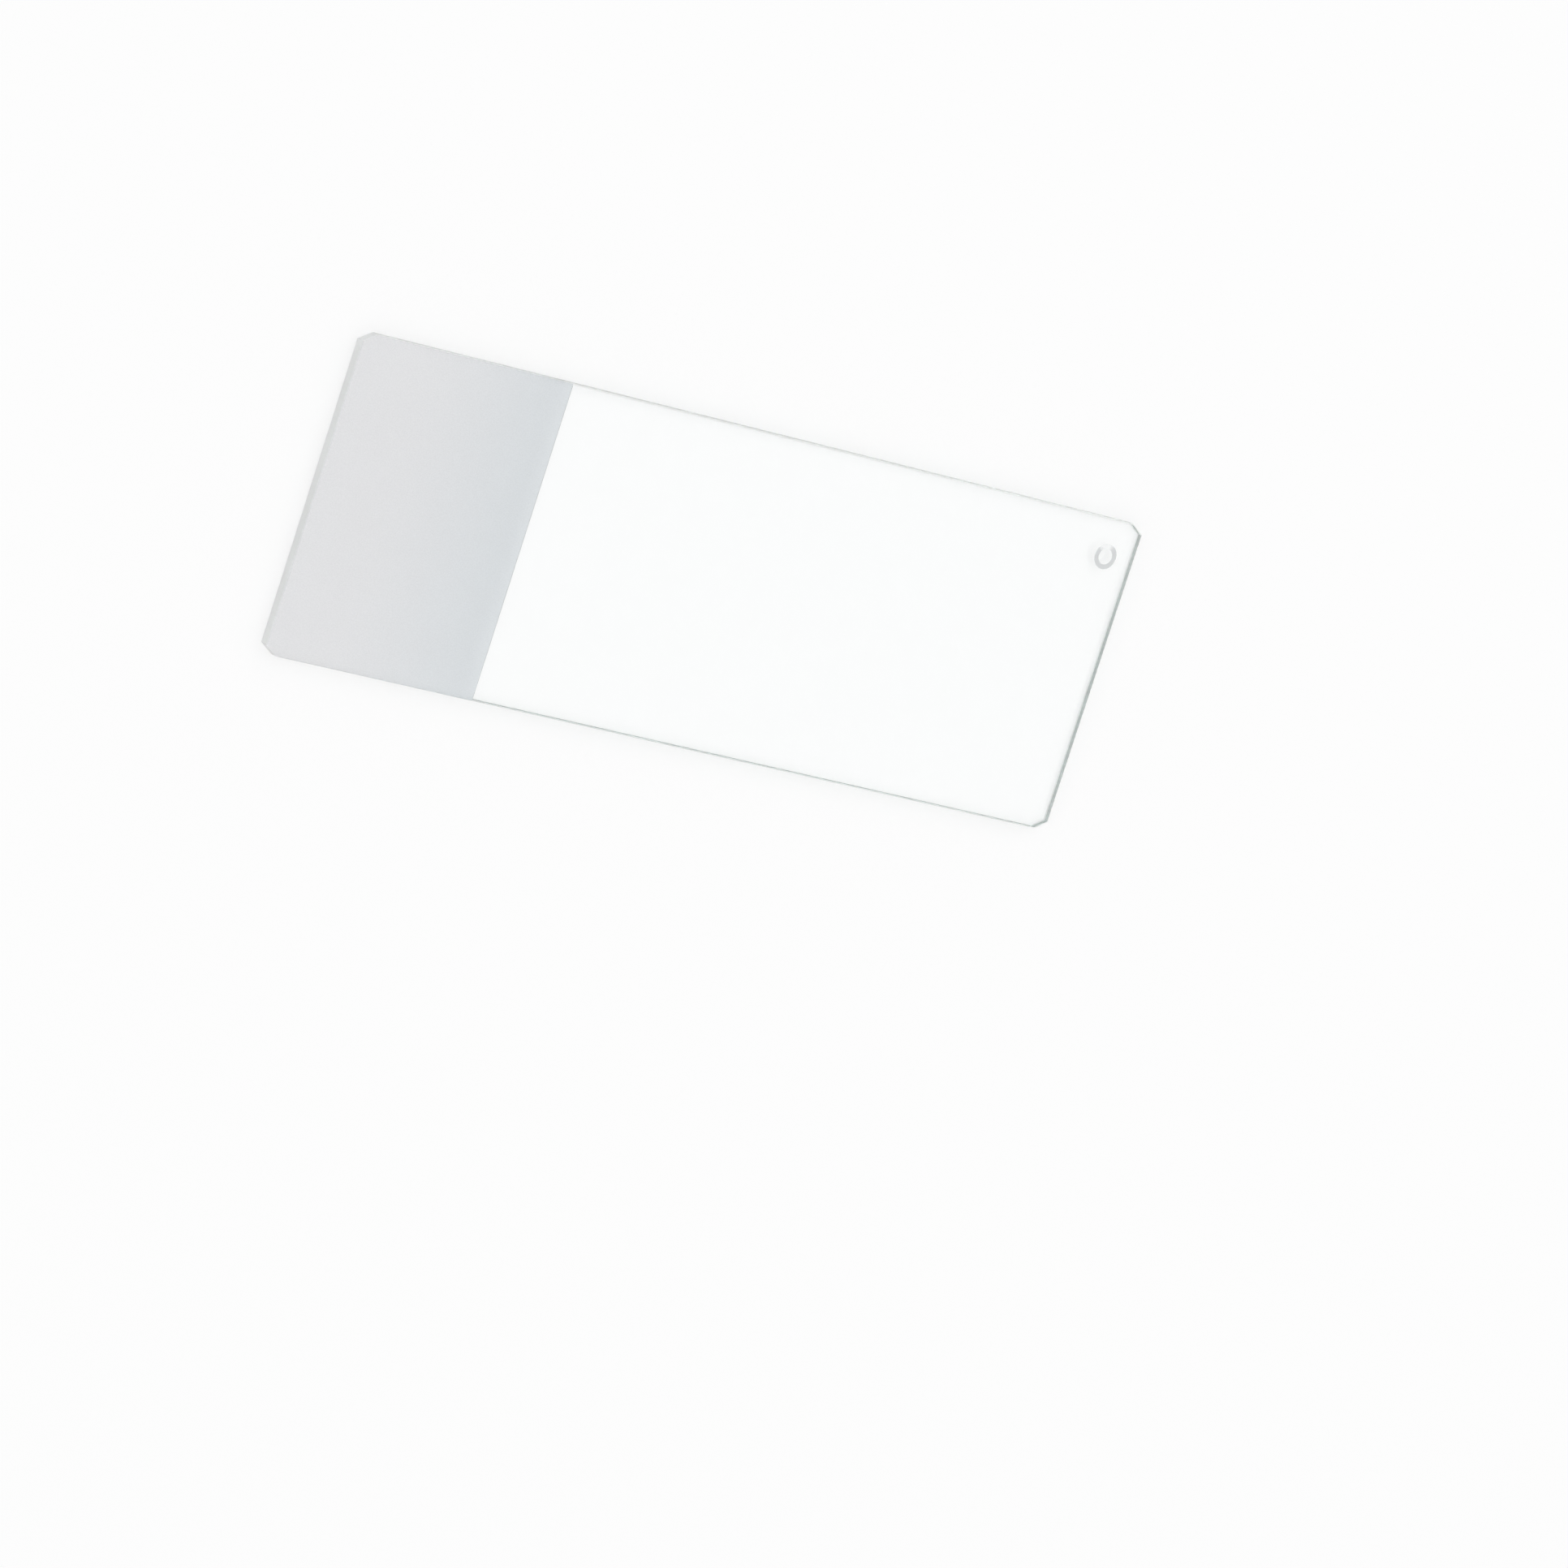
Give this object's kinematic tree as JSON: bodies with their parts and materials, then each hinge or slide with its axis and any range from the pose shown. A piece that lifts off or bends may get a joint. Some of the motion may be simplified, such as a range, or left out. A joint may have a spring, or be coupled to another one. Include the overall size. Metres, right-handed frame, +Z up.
{
  "type": "microscope slide",
  "caption": "Thin rectangular glass plate with clipped corners, ground edges, a frosted writing field at one end and a small etched ring in the far corner.",
  "frame": {"origin": "middle of the underside, on the surface that the slide lies on", "axes": "+X along the length, from the frosted end to the clear end; +Y across the width, towards the ring mark; +Z up, out of the frosted face"},
  "size_m": [0.076, 0.026, 0.001],
  "materials": {
    "glass": "clear soda-lime glass with a faint green tint, matte ground edges and a matte grey-white frosted field"
  },
  "bodies": {
    "root": {"slide": "glass"}
  },
  "joints": []
}
